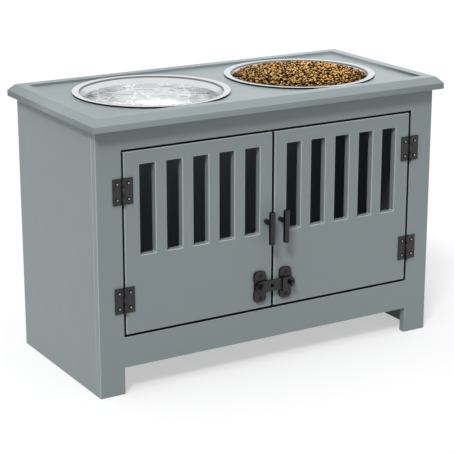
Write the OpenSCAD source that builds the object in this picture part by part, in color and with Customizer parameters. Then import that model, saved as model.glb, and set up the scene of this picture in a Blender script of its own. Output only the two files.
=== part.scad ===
// Elevated dog feeder with a storage cabinet, two slotted doors and two lift-out bowls.
// Millimetres. +Z is up and the doors face -Y.
// The origin is on the floor, under the middle of the overall box.

/* [Cabinet] */
// Width of the cabinet over its side panels
body_w = 582; // [540:1:640]
// Depth of the cabinet from the face frame to the rear edge of the sides
body_d = 265; // [240:1:290]
// Height of the cabinet from the floor to the underside of the top
cabinet_h = 396; // [370:1:440]
// Thickness of the side and bottom panels
panel_t = 12; // [10:0.5:16]
// Thickness of the face frame
frame_t = 12; // [10:0.5:16]
// Width of each front stile, which is also the width of its foot
stile_w = 40; // [36:1:46]
// Height of the rail above the doors
top_rail_h = 31.5; // [26:0.5:40]
// Height of the rail below the doors
apron_h = 46.5; // [40:0.5:60]
// Clear height under the lower rail
foot_h = 41; // [30:1:60]
// Thickness of the back panel
back_t = 6; // [4:0.5:9]
// Depth of the groove in each side that holds the back panel
groove_depth = 4; // [3:0.5:6]
// Distance from the rear edge of the sides to the back panel
back_inset = 10; // [6:1:20]

/* [Top] */
// How far the top overhangs each side
overhang_side = 9; // [5:1:16]
// How far the top overhangs the face frame
overhang_front = 16; // [10:1:22]
// How far the top overhangs the rear edge of the sides
overhang_back = 14; // [0:1:20]
// Thickness of the top board
board_t = 19; // [16:0.5:24]
// Width of the raised border round the tray
border_w = 25; // [20:0.5:30]
// Size of the chamfer on the outer upper edge
edge_chamfer = 9.5; // [4:0.5:12]
// Depth of the tray inside the border
recess_depth = 4.5; // [3:0.5:6]

/* [Bowls] */
// Smallest gap between a bowl's rim and the border
rim_gap = 2.5; // [1:0.5:8]
// Width of the flat rim
rim_w = 11; // [9:0.5:14]
// Height of the rim above the tray
rim_t = 2.4; // [2:0.1:3.5]
// Depth of the bowl below its rim
bowl_depth = 62; // [45:1:75]
// Inner radius of the bowl's flat bottom
bowl_base_r = 66; // [50:1:80]
// Radius of the curve between the bowl's wall and bottom
bowl_curve_r = 20; // [12:1:26]
// Thickness of the bowl's sheet metal
bowl_wall = 1; // [0.8:0.1:1.5]
// Radial play between the bowl and its cut-out
bowl_play = 1.2; // [0.8:0.1:2]
// How far the bowls sit behind the middle of the tray
bowl_shift = 2; // [0:0.5:5]

/* [Doors] */
// Gap round each door and between the doors
door_gap = 3; // [2:0.25:4]
// Thickness of the doors
door_t = 12; // [10:0.5:16]
// Number of slots in each door
slot_count = 5; // [3:1:5]
// Width of a slot
slot_w = 25; // [15:1:32]
// Height of a slot
slot_h = 133; // [80:1:150]
// Distance from a door's upper edge to its slots
slot_drop = 21; // [18:1:40]
// Distance from a door's free edge to its nearest slot
slot_margin_free = 22; // [18:0.5:30]
// Distance from a door's hinge edge to its nearest slot
slot_margin_hinge = 25.5; // [20:0.5:34]

/* [Hinges] */
// Height of a hinge
hinge_h = 38.5; // [34:0.5:50]
// Distance from the hinge axis to the outer edge of a leaf
leaf_w = 16; // [14:0.5:20]
// Thickness of a leaf
leaf_t = 1.5; // [1:0.1:2]
// Outer radius of the hinge barrel
barrel_r = 2.5; // [2.3:0.1:2.6]
// Radius of the hinge pin
pin_r = 1.2; // [1:0.1:1.4]
// Distance of the hinge axis in front of the face frame
axis_lift = 2.2; // [2.2:0.1:2.6]
// Distance from the hinge axis to its screws
hinge_screw_x = 9; // [8:0.5:10]
// Distance between the two screws of a leaf
hinge_screw_pitch = 23; // [18:1:26]
// Distance from the upper edge of the door opening to the middle of the upper hinges
upper_hinge_drop = 59.5; // [40:1:90]
// Distance from the lower edge of the door opening to the middle of the lower hinges
lower_hinge_rise = 56.5; // [40:1:90]

/* [Handles] */
// Length of a handle bar
bar_len = 50; // [40:1:60]
// Radius of a handle bar
bar_r = 4.8; // [4:0.1:6]
// Radius of the post that carries the bar
post_r = 3.8; // [3:0.1:4.5]
// Distance from the door's face to the axis of the bar
bar_reach = 17.5; // [14:0.5:24]
// Distance from a door's free edge to its handle
handle_inset = 11; // [8:0.5:12]
// Height of the middle of the bar above the door's lower edge
handle_rise = 128.5; // [124:0.5:160]
// Distance of the post above the middle of the bar
post_offset = 7; // [0:0.5:14]
// Radius of the screw that holds a handle
handle_screw_r = 2; // [1.5:0.1:2.2]

/* [Latch] */
// Height of the latch's middle above the door's lower edge
latch_rise = 35.5; // [30:1:45]
// Distance from the middle of the cabinet to the latch pivot
pivot_x = 24; // [22:0.5:30]
// Distance from the middle of the cabinet to the middle of the keeper
keeper_x = 21; // [20:0.5:23]
// Width of the round ends of the latch plates
plate_w = 21; // [19:0.5:23]
// Height of the latch plates
plate_h = 49; // [46:0.5:54]
// Thickness of the latch plates
plate_t = 4; // [3:0.5:5]
// Width of the swinging arm
arm_w = 18; // [16:0.5:20]
// Thickness of the swinging arm
arm_t = 3; // [2:0.25:4]
// Distance from the arm's pivot to the middle of its round end
arm_len = 51; // [48:0.5:54]
// Radius of the pivot pin
pivot_r = 3; // [2:0.25:4]
// Radius of the knob at the end of the arm
knob_r = 4; // [3:0.25:5]
// How far the knob stands out from the arm
knob_len = 8; // [5:0.5:10]
// Thickness of the keeper's hook
hook_t = 2.5; // [2:0.25:3]
// Width of the keeper's hook
hook_w = 8.5; // [6:0.5:9]

/* [Fasteners] */
// Radius of the shank of a hinge or latch screw
screw_r = 1.5; // [1.2:0.1:1.6]
// Radius of the head of a hinge or latch screw
head_r = 3; // [2.6:0.1:3.2]
// Length of the shank of a hinge or latch screw
screw_len = 9; // [6:0.5:9]
// Radius of the dowels in the face frame
dowel_r = 3; // [2.5:0.25:3.5]
// Length of the dowels in the face frame
dowel_len = 30; // [20:1:34]
// Radius of the cam locks under the bottom panel
cam_r = 6; // [5:0.25:7.5]
// Height of the cam locks
cam_h = 8; // [6:0.5:9]
// Radius of the bolts that the cam locks draw in
cam_bolt_r = 2.5; // [2:0.1:3]
// Width of the square blocks in the upper corners
block_w = 22; // [18:1:26]
// Height of the corner blocks
block_h = 30; // [24:1:40]

/* [Fits] */
// Clearance between a fixed shank and its hole, on the radius
hole_play = 0.1; // [0.05:0.05:0.2]
// Clearance of a turning joint, on the radius
turn_play = 0.05; // [0.03:0.01:0.1]
// Gap between parts that move past each other
slide_gap = 0.4; // [0.3:0.1:0.6]

/* [Hidden] */
$fn = 48;
eps = 1;
front_reach = max(bar_reach + bar_r, plate_t + slide_gap + arm_t + knob_len);
top_d = overhang_front + body_d + overhang_back;
overall_d = top_d + max(front_reach - overhang_front, 0);
top_back_y = overall_d / 2;
top_front_y = top_back_y - top_d;
face_y = top_front_y + overhang_front;
back_y = face_y + body_d;
frame_back_y = face_y + frame_t;
panel_back_y = back_y - back_inset - back_t;
top_w = body_w + 2 * overhang_side;
inner_w = body_w - 2 * panel_t;
opening_w = body_w - 2 * stile_w;
opening_z0 = foot_h + apron_h;
opening_z1 = cabinet_h - top_rail_h;
door_w = (opening_w - 3 * door_gap) / 2;
door_h = opening_z1 - opening_z0 - 2 * door_gap;
door_z0 = opening_z0 + door_gap;
door_x0 = door_gap / 2;
axis_x = opening_w / 2 - door_gap / 2;
axis_y = face_y - axis_lift;
hinge_z = [opening_z0 + lower_hinge_rise, opening_z1 - upper_hinge_drop];
handle_x = door_x0 + handle_inset;
bar_z = door_z0 + handle_rise;
post_z = bar_z + post_offset;
latch_z = door_z0 + latch_rise;
top_z = cabinet_h + board_t;
tray_z = top_z - recess_depth;
tray_front_y = top_front_y + border_w;
tray_back_y = top_back_y - border_w;
tray_w = top_w - 2 * border_w;
tray_d = tray_back_y - tray_front_y;
rim_r = tray_d / 2 - bowl_shift - rim_gap;
bowl_gap = (tray_w - 4 * rim_r) / 3;
bowl_x = rim_r + bowl_gap / 2;
bowl_y = (tray_front_y + tray_back_y) / 2 + bowl_shift;
bowl_mouth_r = rim_r - rim_w;
cutout_r = bowl_mouth_r + bowl_wall + bowl_play;
bottom_z0 = opening_z0 - panel_t;
bolt_z = bottom_z0 + panel_t / 2;
arm_y = face_y - plate_t - slide_gap;
hook_y = arm_y - arm_t - slide_gap;
lobe_w = plate_w / 2;
waist_cut = 2;
head_h = 1.1;
plate_screw_inset = 7;
plate_screw_z = plate_h / 2 - plate_screw_inset;
plate_clamp = plate_t - head_h;
cross_w = 0.7;
cam_back = 24;
bolt_in_side = 8;
bolt_inset = 40;
bolt_y = [frame_back_y + bolt_inset, panel_back_y - bolt_inset];

paint = [0.50, 0.54, 0.55];
black_iron = [0.14, 0.14, 0.15];
raw_board = [0.62, 0.50, 0.36];

// Box between two corners
module block(low, high) {
    translate(low) cube(high - low);
}

// Mirrors its children to the left when side is -1
module on_side(side) {
    if (side > 0) children();
    else mirror([1, 0, 0]) children();
}

// Cylinder along Y from y0 to y1
module rod_y(x, z, r, y0, y1) {
    translate([x, y1, z]) rotate([90, 0, 0]) cylinder(h = y1 - y0, r = r);
}

// Cylinder along X from x0 to x1
module rod_x(y, z, r, x0, x1) {
    translate([x0, y, z]) rotate([0, 90, 0]) cylinder(h = x1 - x0, r = r);
}

// Side panels and the groove that takes the back panel
module side_panel(side) {
    color(paint) on_side(side) difference() {
        block([body_w / 2 - panel_t, frame_back_y, 0], [body_w / 2, back_y, cabinet_h]);
        block([body_w / 2 - panel_t - eps, panel_back_y, foot_h],
            [body_w / 2 - panel_t + groove_depth, panel_back_y + back_t, cabinet_h + eps]);
        for (y = bolt_y)
            rod_x(y, bolt_z, cam_bolt_r + hole_play,
                inner_w / 2 - eps, inner_w / 2 + bolt_in_side + hole_play);
    }
}

module back_panel() {
    half = inner_w / 2 + groove_depth - slide_gap;
    color(paint) block([-half, panel_back_y, foot_h], [half, panel_back_y + back_t, cabinet_h]);
}

module bottom_panel() {
    color(paint) difference() {
        block([-inner_w / 2, frame_back_y, bottom_z0], [inner_w / 2, panel_back_y, opening_z0]);
        for (side = [-1, 1], y = bolt_y) on_side(side) {
            rod_x(y, bolt_z, cam_bolt_r + hole_play, inner_w / 2 - cam_back, inner_w / 2 + eps);
            translate([inner_w / 2 - cam_back, y, bottom_z0 - eps])
                cylinder(h = cam_h + hole_play + eps, r = cam_r + hole_play);
        }
    }
}

// Cam locks sit in the underside of the bottom panel and draw the bolts in
module cam_locks() {
    color(black_iron) for (side = [-1, 1], y = bolt_y) on_side(side) difference() {
        translate([inner_w / 2 - cam_back, y, bottom_z0]) cylinder(h = cam_h, r = cam_r);
        rod_x(y, bolt_z, cam_bolt_r + hole_play, inner_w / 2 - cam_back - eps, inner_w / 2);
        translate([inner_w / 2 - cam_back, y, bottom_z0]) cube([cam_r, cross_w, 2], center = true);
    }
}

module cam_bolts() {
    color(black_iron) for (side = [-1, 1], y = bolt_y) on_side(side)
        rod_x(y, bolt_z, cam_bolt_r, inner_w / 2 - cam_back, inner_w / 2 + bolt_in_side);
}

// Heights of the dowels that join a rail between z0 and z1 to the stiles
function dowel_heights(z0, z1) = [z0 + (z1 - z0) / 4, z1 - (z1 - z0) / 4];
all_dowel_heights = concat(dowel_heights(foot_h, opening_z0), dowel_heights(opening_z1, cabinet_h));

module dowel_shape(side, play) {
    half = dowel_len / 2 + play;
    for (z = all_dowel_heights) on_side(side)
        rod_x(face_y + frame_t / 2, z, dowel_r + play, opening_w / 2 - half, opening_w / 2 + half);
}

module frame_dowels() {
    color(raw_board) for (side = [-1, 1]) dowel_shape(side, 0);
}

// Screws of one pair of hinges: the holes in the frame are on the outer side of the axis
module hinge_screw_spots(side, outward) {
    for (z = hinge_z, dz = [-0.5, 0.5]) on_side(side)
        translate([axis_x + outward * hinge_screw_x, face_y, z + dz * hinge_screw_pitch])
            children();
}

module hinge_screw_holes(side, outward) {
    hinge_screw_spots(side, outward)
        rod_y(0, 0, screw_r + hole_play, -eps, screw_len + hole_play - leaf_t);
}

module front_stile(side) {
    color(paint) difference() {
        on_side(side) block([opening_w / 2, face_y, 0], [body_w / 2, frame_back_y, cabinet_h]);
        dowel_shape(side, hole_play);
        hinge_screw_holes(side, 1);
    }
}

module rail(z0, z1) {
    color(paint) difference() {
        block([-opening_w / 2, face_y, z0], [opening_w / 2, frame_back_y, z1]);
        dowel_shape(-1, hole_play);
        dowel_shape(1, hole_play);
    }
}

// Box with its upper edges cut back by c on all four sides
module chamfered_board(low, high, c) {
    mid = (low + high) / 2;
    size = high - low;
    intersection() {
        translate(low) cube(size);
        translate([low[0], mid[1], mid[2]]) rotate([90, 0, 90]) linear_extrude(size[0])
            chamfered_outline(size[1] / 2, size[2] / 2, c);
        translate([mid[0], high[1], mid[2]]) rotate([90, 0, 0]) linear_extrude(size[1])
            chamfered_outline(size[0] / 2, size[2] / 2, c);
    }
}

// Outline of such a board seen from one end
module chamfered_outline(a, b, c) {
    polygon([[-a, -b], [a, -b], [a, b - c], [a - c, b], [c - a, b], [-a, b - c]]);
}

// Top board: a raised border round a shallow tray, with a round cut-out for each bowl
module top_board() {
    half = top_w / 2;
    color(paint) difference() {
        chamfered_board([-half, top_front_y, cabinet_h], [half, top_back_y, top_z], edge_chamfer);
        block([border_w - half, tray_front_y, tray_z], [half - border_w, tray_back_y, top_z + eps]);
        for (side = [-1, 1]) translate([side * bowl_x, bowl_y, cabinet_h - eps])
            cylinder(h = board_t + 2 * eps, r = cutout_r);
        top_screw_spots() translate([0, 0, -eps])
            cylinder(h = top_screw_bite + hole_play + eps, r = screw_r + hole_play);
    }
}

// Blocks in the upper corners, with a screw up through each into the top board
block_x = inner_w / 2 - block_w / 2;
block_y = [frame_back_y + block_w / 2, panel_back_y - block_w / 2];
top_screw_bite = 8;
top_screw_len = block_h + top_screw_bite;

module top_screw_spots() {
    for (side = [-1, 1], y = block_y) translate([side * block_x, y, cabinet_h]) children();
}

module corner_blocks() {
    color(raw_board) top_screw_spots() difference() {
        translate([-block_w / 2, -block_w / 2, -block_h]) cube([block_w, block_w, block_h]);
        translate([0, 0, -block_h - eps]) cylinder(h = block_h + 2 * eps, r = screw_r + hole_play);
    }
}

module top_screws() {
    color(black_iron) top_screw_spots() translate([0, 0, -block_h]) {
        cylinder(h = top_screw_len, r = screw_r);
        translate([0, 0, -head_h]) cylinder(h = head_h, r = head_r);
    }
}

// Block behind the upper rail that both doors close against
module door_stop() {
    stop_drop = 14;
    color(raw_board) block([-block_w, frame_back_y + slide_gap, opening_z1 - door_gap - stop_drop],
        [block_w, frame_back_y + slide_gap + panel_t, cabinet_h]);
}

// Half section of a bowl: the rim, a sloping wall and a curve down to the flat bottom
wall_lean = atan2(bowl_mouth_r - bowl_base_r - bowl_curve_r, bowl_depth - bowl_curve_r);
curve_steps = 8;

// Points down the bowl's inside, moved out by t for its outside
function bowl_side(t) = let (r = bowl_curve_r + t) concat([[bowl_mouth_r + t, 0]],
    [for (i = [0:curve_steps]) let (a = i * (90 - wall_lean) / curve_steps + wall_lean)
        [bowl_base_r + r * cos(a), bowl_curve_r - bowl_depth - r * sin(a)]]);
inside_line = bowl_side(0);
outside_line = bowl_side(bowl_wall);

module bowl(side) {
    roll_r = rim_t / 2;
    lip_drop = roll_r;
    lip_in = 0.5;
    color("gainsboro") translate([side * bowl_x, bowl_y, tray_z + rim_t])
        rotate_extrude($fn = 96) polygon(concat(
            [[0, -bowl_depth]],
            [for (i = [curve_steps + 1:-1:1]) inside_line[i]],
            [[bowl_mouth_r - lip_in, -lip_drop], [bowl_mouth_r + lip_in, 0]],
            [for (a = [90:-30:-90]) [rim_r - roll_r + roll_r * cos(a), -roll_r + roll_r * sin(a)]],
            [[bowl_mouth_r + bowl_wall, -rim_t]],
            [for (i = [1:curve_steps + 1]) outside_line[i]],
            [[0, -bowl_depth - bowl_wall]]));
}

// Door with its row of slots, its screw holes and the hole for the handle screw
module door(side) {
    first_x = door_x0 + slot_margin_free;
    slot_pitch = (door_w - slot_margin_free - slot_margin_hinge - slot_w) / (slot_count - 1);
    slot_z1 = door_z0 + door_h - slot_drop;
    plate_x = side < 0 ? pivot_x : keeper_x;
    color(paint) difference() {
        on_side(side) translate([door_x0, face_y, door_z0]) cube([door_w, door_t, door_h]);
        for (i = [0:slot_count - 1]) on_side(side)
            block([first_x + i * slot_pitch, face_y - eps, slot_z1 - slot_h],
                [first_x + i * slot_pitch + slot_w, face_y + door_t + eps, slot_z1]);
        hinge_screw_holes(side, -1);
        plate_screw_spots(side * plate_x)
            rod_y(0, 0, screw_r + hole_play, -eps, screw_len + hole_play - plate_clamp);
        rod_y(side * handle_x, post_z, handle_screw_r + hole_play, face_y - eps, face_y + door_t + eps);
    }
}

// Knuckles: the frame leaf has the outer two, the door leaf the middle one
knuckle_h = hinge_h / 3;

module knuckle(z0, z1) {
    translate([axis_x, axis_y, z0]) difference() {
        cylinder(h = z1 - z0, r = barrel_r);
        translate([0, 0, -eps]) cylinder(h = z1 - z0 + 2 * eps, r = pin_r + turn_play);
    }
}

// Flat of a leaf, which is outward of the axis on the frame and inward of it on the door
module leaf_plate(z, outward, cut_z) {
    x0 = axis_x + outward * (pin_r + turn_play + slide_gap);
    x1 = axis_x + outward * leaf_w;
    difference() {
        block([min(x0, x1), face_y - leaf_t, z - hinge_h / 2], [max(x0, x1), face_y, z + hinge_h / 2]);
        for (span = cut_z) translate([axis_x, axis_y, z + span[0]])
            cylinder(h = span[1] - span[0], r = barrel_r + slide_gap);
        for (dz = [-0.5, 0.5])
            rod_y(axis_x + outward * hinge_screw_x, z + dz * hinge_screw_pitch, screw_r + hole_play,
                face_y - leaf_t - eps, face_y + eps);
    }
}

module hinge_leaf_frame(side, z) {
    gap = slide_gap / 2;
    color(black_iron) on_side(side) {
        for (end = [-1, 1]) knuckle(z + (end < 0 ? -hinge_h / 2 : knuckle_h / 2 + gap),
            z + (end < 0 ? -knuckle_h / 2 - gap : hinge_h / 2));
        leaf_plate(z, 1, [[-knuckle_h / 2 - gap, knuckle_h / 2 + gap]]);
    }
}

module hinge_leaf_door(side, z) {
    half = (knuckle_h - slide_gap) / 2;
    color(black_iron) on_side(side) {
        knuckle(z - half, z + half);
        leaf_plate(z, -1, [[-hinge_h / 2 - eps, -half], [half, hinge_h / 2 + eps]]);
    }
}

module hinge_pin(side, z) {
    head_t = 0.8;
    color(black_iron) on_side(side) translate([axis_x, axis_y, z - hinge_h / 2]) {
        cylinder(h = hinge_h, r = pin_r);
        for (h = [-head_t, hinge_h]) translate([0, 0, h]) cylinder(h = head_t, r = 1.5 * pin_r);
    }
}

// Raised cross-head screw that enters a board at y = 0 and clamps a plate of the given thickness
module raised_screw(plate) {
    rod_y(0, 0, screw_r, -plate, screw_len - plate);
    difference() {
        translate([0, -plate, 0]) rotate([90, 0, 0]) {
            cylinder(h = head_h / 2, r = head_r);
            translate([0, 0, head_h / 2]) cylinder(h = head_h / 2, r1 = head_r, r2 = head_r * 0.7);
        }
        for (a = [0, 90]) translate([0, -plate - head_h, 0]) rotate([0, a, 0])
            cube([head_r, head_h, cross_w], center = true);
    }
}

module hinge_screws_frame() {
    color(black_iron) for (side = [-1, 1]) hinge_screw_spots(side, 1) raised_screw(leaf_t);
}

module hinge_screws_door(side) {
    color(black_iron) hinge_screw_spots(side, -1) raised_screw(leaf_t);
}

// Handle: a bar on one post, held by a screw from inside the door
thread_depth = 8;
bar_y = face_y - bar_reach;
post_y = bar_y + bar_r / 2;

module handle_bar(side) {
    rim = 0.8;
    color(black_iron) difference() {
        translate([side * handle_x, bar_y, bar_z - bar_len / 2]) {
            translate([0, 0, rim]) cylinder(h = bar_len - 2 * rim, r = bar_r);
            cylinder(h = rim, r1 = bar_r - rim, r2 = bar_r);
            translate([0, 0, bar_len - rim]) cylinder(h = rim, r1 = bar_r, r2 = bar_r - rim);
        }
        rod_y(side * handle_x, post_z, post_r + hole_play, post_y, face_y);
    }
}

module handle_post(side) {
    color(black_iron) difference() {
        rod_y(side * handle_x, post_z, post_r, post_y, face_y);
        rod_y(side * handle_x, post_z, handle_screw_r + hole_play,
            face_y - thread_depth - hole_play, face_y + eps);
    }
}

module handle_screw(side) {
    washer_t = 2;
    head_y = face_y + door_t;
    color("silver") {
        rod_y(side * handle_x, post_z, handle_screw_r, face_y - thread_depth, head_y);
        difference() {
            rod_y(side * handle_x, post_z, 2 * handle_screw_r, head_y, head_y + washer_t);
            for (a = [0, 90]) translate([side * handle_x, head_y + washer_t, post_z]) rotate([0, a, 0])
                cube([2 * handle_screw_r, washer_t, cross_w], center = true);
        }
    }
}

// Latch plates: two round ends joined by a narrower waist
module plate_screw_spots(x) {
    for (dz = [-1, 1]) translate([x, face_y, latch_z + dz * plate_screw_z]) children();
}

module latch_plate_shape(x) {
    straight = plate_h / 2 - lobe_w;
    shoulder = plate_h / 5;
    difference() {
        union() {
            for (dz = [-1, 1]) {
                rod_y(x, latch_z + dz * straight, lobe_w, face_y - plate_t, face_y);
                translate([x, face_y - plate_t / 2, latch_z + dz * (straight + shoulder) / 2])
                    cube([plate_w, plate_t, straight - shoulder], center = true);
            }
            translate([x, face_y - plate_t / 2, latch_z])
                cube([plate_w - 2 * waist_cut, plate_t, 2 * straight], center = true);
        }
        // The screw heads are sunk, because the arm passes over them
        plate_screw_spots(x) {
            rod_y(0, 0, screw_r + hole_play, -plate_t - eps, eps);
            rod_y(0, 0, head_r + hole_play, -plate_t - eps, -plate_t + head_h + hole_play);
        }
    }
}

module latch_plate() {
    color(black_iron) difference() {
        latch_plate_shape(-pivot_x);
        rod_y(-pivot_x, latch_z, pivot_r + hole_play, face_y - plate_t - eps, face_y + eps);
    }
}

module latch_pivot_pin() {
    pin_head_t = 2;
    pin_head_r = pivot_r + 2;
    color(black_iron) {
        rod_y(-pivot_x, latch_z, pivot_r, hook_y, face_y);
        difference() {
            rod_y(-pivot_x, latch_z, pin_head_r, hook_y - pin_head_t, hook_y);
            translate([-pivot_x, hook_y - pin_head_t, latch_z]) rotate([0, 45, 0])
                cube([2 * pivot_r, pin_head_t, 1.5 * cross_w], center = true);
        }
    }
}

module latch_arm() {
    hole_along = arm_len * 0.38;
    color(black_iron) difference() {
        union() {
            for (x = [0, arm_len]) rod_y(x - pivot_x, latch_z, arm_w / 2, arm_y - arm_t, arm_y);
            translate([-pivot_x, arm_y - arm_t, latch_z - arm_w / 2]) cube([arm_len, arm_t, arm_w]);
        }
        rod_y(-pivot_x, latch_z, pivot_r + turn_play, arm_y - arm_t - eps, arm_y + eps);
        rod_y(hole_along - pivot_x, latch_z, arm_w / 6, arm_y - arm_t - eps, arm_y + eps);
    }
}

module latch_knob() {
    color(black_iron) translate([arm_len - pivot_x, arm_y - arm_t, latch_z]) rotate([90, 0, 0]) {
        cylinder(h = knob_len * 0.4, r = knob_r * 0.7);
        translate([0, 0, knob_len * 0.4]) cylinder(h = knob_len * 0.45, r = knob_r);
        translate([0, 0, knob_len * 0.85]) cylinder(h = knob_len * 0.15, r1 = knob_r, r2 = knob_r * 0.7);
    }
}

// Keeper: a plate whose hook turns forward under the arm and up in front of it
module latch_keeper() {
    hook_rise = 1;
    hook_x0 = keeper_x - hook_w;
    hook_z0 = latch_z - arm_w / 2 - slide_gap - hook_t;
    hook_z1 = latch_z + arm_w / 2 + hook_rise;
    color(black_iron) {
        latch_plate_shape(keeper_x);
        block([hook_x0, hook_y - hook_t, hook_z0],
            [hook_x0 + hook_w, face_y - plate_t + eps, hook_z0 + hook_t]);
        block([hook_x0, hook_y - hook_t, hook_z0], [hook_x0 + hook_w, hook_y, hook_z1]);
    }
}

module latch_screws(side) {
    color(black_iron) plate_screw_spots(side < 0 ? -pivot_x : keeper_x) raised_screw(plate_clamp);
}

side_panel(-1);  // side_panel_left
side_panel(1);  // side_panel_right
bottom_panel();
back_panel();
front_stile(-1);  // front_stile_left
front_stile(1);  // front_stile_right
rail(opening_z1, cabinet_h);  // top_rail
rail(foot_h, opening_z0);  // lower_rail
top_board();
corner_blocks();
top_screws();
frame_dowels();
cam_locks();
cam_bolts();
door_stop();
bowl(-1);  // bowl_left
bowl(1);  // bowl_right
door(-1);  // door_left
door(1);  // door_right
hinge_leaf_frame(-1, hinge_z[1]);  // hinge_leaf_frame_left_upper
hinge_leaf_frame(-1, hinge_z[0]);  // hinge_leaf_frame_left_lower
hinge_leaf_frame(1, hinge_z[1]);  // hinge_leaf_frame_right_upper
hinge_leaf_frame(1, hinge_z[0]);  // hinge_leaf_frame_right_lower
hinge_leaf_door(-1, hinge_z[1]);  // hinge_leaf_door_left_upper
hinge_leaf_door(-1, hinge_z[0]);  // hinge_leaf_door_left_lower
hinge_leaf_door(1, hinge_z[1]);  // hinge_leaf_door_right_upper
hinge_leaf_door(1, hinge_z[0]);  // hinge_leaf_door_right_lower
hinge_pin(-1, hinge_z[1]);  // hinge_pin_left_upper
hinge_pin(-1, hinge_z[0]);  // hinge_pin_left_lower
hinge_pin(1, hinge_z[1]);  // hinge_pin_right_upper
hinge_pin(1, hinge_z[0]);  // hinge_pin_right_lower
hinge_screws_frame();
hinge_screws_door(-1);  // hinge_screws_door_left
hinge_screws_door(1);  // hinge_screws_door_right
handle_bar(-1);  // handle_bar_left
handle_bar(1);  // handle_bar_right
handle_post(-1);  // handle_post_left
handle_post(1);  // handle_post_right
handle_screw(-1);  // handle_screw_left
handle_screw(1);  // handle_screw_right
latch_plate();
latch_pivot_pin();
latch_arm();
latch_knob();
latch_keeper();
latch_screws(-1);  // latch_screws_left
latch_screws(1);  // latch_screws_right
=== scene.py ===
# %% [markdown]
# # A raised feeding station for a dog
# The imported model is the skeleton: every panel, hinge and bowl has its true place and size. This lesson
# dresses it. Each piece is rebuilt with mesh operators, its edges eased as a painter's sander leaves them,
# and each finish is a node material that follows the object's own axes.

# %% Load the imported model
import math
import random
import bpy
import bmesh
from mathutils import Matrix, Vector


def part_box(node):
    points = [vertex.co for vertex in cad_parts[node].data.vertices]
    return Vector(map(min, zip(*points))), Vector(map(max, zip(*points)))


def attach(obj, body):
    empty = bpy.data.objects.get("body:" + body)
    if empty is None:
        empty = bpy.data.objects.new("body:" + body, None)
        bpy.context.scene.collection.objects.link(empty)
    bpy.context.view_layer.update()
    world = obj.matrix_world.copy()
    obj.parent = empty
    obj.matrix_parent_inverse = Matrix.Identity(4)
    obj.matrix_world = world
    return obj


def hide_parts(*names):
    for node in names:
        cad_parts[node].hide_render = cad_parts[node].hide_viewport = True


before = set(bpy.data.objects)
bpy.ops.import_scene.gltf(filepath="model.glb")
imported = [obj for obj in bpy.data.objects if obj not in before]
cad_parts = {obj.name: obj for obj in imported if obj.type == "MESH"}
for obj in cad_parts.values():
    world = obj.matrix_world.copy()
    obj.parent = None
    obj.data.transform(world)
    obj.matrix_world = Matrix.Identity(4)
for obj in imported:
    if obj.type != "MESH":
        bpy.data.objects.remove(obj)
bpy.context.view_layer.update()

scene = bpy.context.scene

# %% [markdown]
# A cabinet is drawn in millimetres and Blender works in metres. One number turns the first into the second.
# One helper makes a point out of three sizes, and another puts an object into the scene.

# %% Millimetres and objects
mm = 0.001


def at(x, y, z):
    """A point given in millimetres."""
    return Vector((x, y, z)) * mm


def stand(name, data):
    """An object that shows some data, put into the scene."""
    thing = bpy.data.objects.new(name, data)
    scene.collection.objects.link(thing)
    return thing


# %% [markdown]
# ## The camera
# The photograph looks down a little on the cabinet from its front left. A long lens keeps the edges nearly
# parallel. The camera is made first, because what it sees decides how much detail a piece needs.

# %% Camera
camera_data = bpy.data.cameras.new("camera")
camera_data.sensor_width = 36
camera_data.lens = 123.6
camera_data.clip_end = 60
camera = stand("camera", camera_data)
camera.location = at(-1196.8, -2007.7, 883.7)
turn = math.radians(30.725)
dip = math.radians(16.712)
sight = Vector((math.sin(turn) * math.cos(dip), math.cos(turn) * math.cos(dip), -math.sin(dip)))
camera.rotation_euler = sight.to_track_quat("-Z", "Y").to_euler()
scene.camera = camera
print("camera stands", round(camera.location.length, 2), "m away")

# %% [markdown]
# ## Colours as a painter writes them
# Colour pickers use numbers from 0 to 255 on a curve that suits the eye. A shader adds up light, so each
# number is first turned into light.

# %% Tints


def tint(red, green, blue):
    """A colour from 0 to 255 on the screen's curve, as amounts of light."""
    shares = [value / 255 for value in (red, green, blue)]
    light = [s / 12.92 if s <= 0.04045 else ((s + 0.055) / 1.055) ** 2.4 for s in shares]
    return (*light, 1.0)


# %% [markdown]
# ## Nodes in one line
# Surfaces, the room and the floor are all trees of nodes. These helpers add a node and join it up in one
# line, and the last one turns a bmesh into a mesh.

# %% Node and mesh helpers


def put(tree, kind, **settings):
    """A new node with its settings."""
    node = tree.nodes.new(kind)
    for name, value in settings.items():
        setattr(node, name, value)
    return node


def feed(tree, socket, value):
    """Sets a socket to a value, or links it to another node's output."""
    if isinstance(value, bpy.types.NodeSocket):
        tree.links.new(value, socket)
    else:
        socket.default_value = value


def calc(tree, operation, first, second=0.0, third=0.0, clamp=False):
    """A Math node. Each of its terms is a number or another node's output."""
    node = put(tree, "ShaderNodeMath", operation=operation, use_clamp=clamp)
    for socket, value in zip(node.inputs, (first, second, third)):
        feed(tree, socket, value)
    return node.outputs[0]


def seen_share(tree):
    """One for rays from the camera, mirrors and clear water, and zero for all other light."""
    ray = put(tree, "ShaderNodeLightPath")
    share = calc(tree, "ADD", ray.outputs["Is Camera Ray"], ray.outputs["Is Glossy Ray"], clamp=True)
    return calc(tree, "ADD", share, ray.outputs["Is Transmission Ray"], clamp=True)


def mix(tree, factor, first, second, kind="MIX"):
    """A colour Mix node. Its factor and its colours are values or other nodes' outputs."""
    node = put(tree, "ShaderNodeMix", data_type="RGBA", blend_type=kind)
    for label, value in (("Factor", factor), ("A", first), ("B", second)):
        feed(tree, node.inputs[label], value)
    return node.outputs["Result"]


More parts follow.
